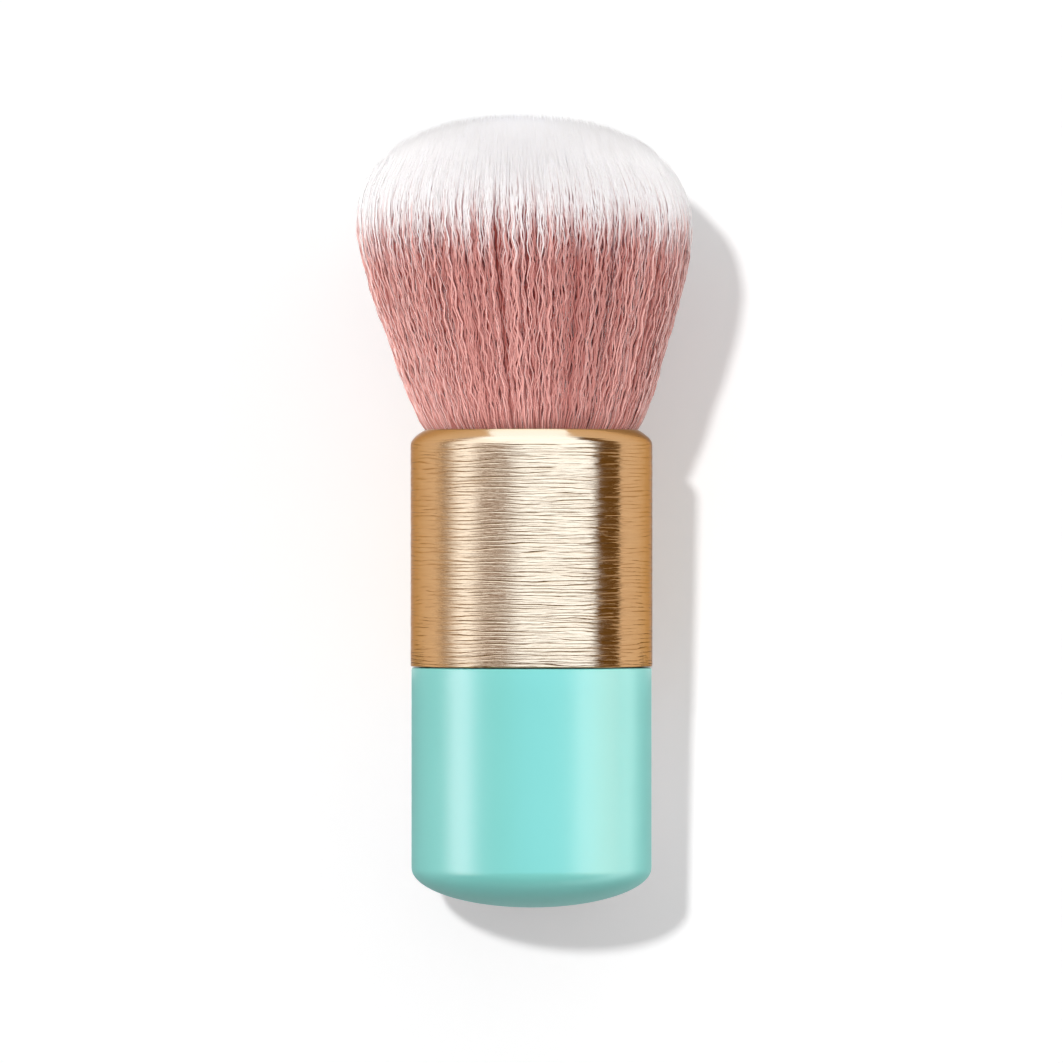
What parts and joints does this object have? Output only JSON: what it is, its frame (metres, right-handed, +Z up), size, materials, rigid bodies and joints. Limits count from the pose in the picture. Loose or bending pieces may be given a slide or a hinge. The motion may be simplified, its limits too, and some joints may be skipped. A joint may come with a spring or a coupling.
{
  "type": "foundation brush",
  "caption": "Short foundation brush lying on its side: domed pink hair head with white tips, gold ferrule with a rolled lip, mint handle with a domed end.",
  "frame": {"origin": "centre of the bottom of the bounding box, on the surface that the brush lies on", "axes": "+Y along the brush, from the handle to the hair; +X to the right seen from above with the hair up; +Z up from the surface"},
  "size_m": [0.0364, 0.086, 0.0363],
  "materials": {
    "hair": "soft synthetic fibre, pink at the roots and white at the tips",
    "ferrule_metal": "gold anodised, finely brushed round the tube",
    "handle_plastic": "satin gloss mint",
    "natural_plastic": "natural moulded",
    "band_metal": "plain",
    "weight_steel": "turned",
    "resin": "cast amber resin",
    "glue": "set glue"
  },
  "bodies": {
    "root": {"fibre_head": "hair", "knot_band": "band_metal", "resin_bed": "resin", "knot_cup": "natural_plastic", "ferrule": "ferrule_metal", "glue_ring_1": "glue", "glue_ring_2": "glue", "handle_plug": "natural_plastic", "handle_shell": "handle_plastic", "handle_weight": "weight_steel"}
  },
  "joints": []
}
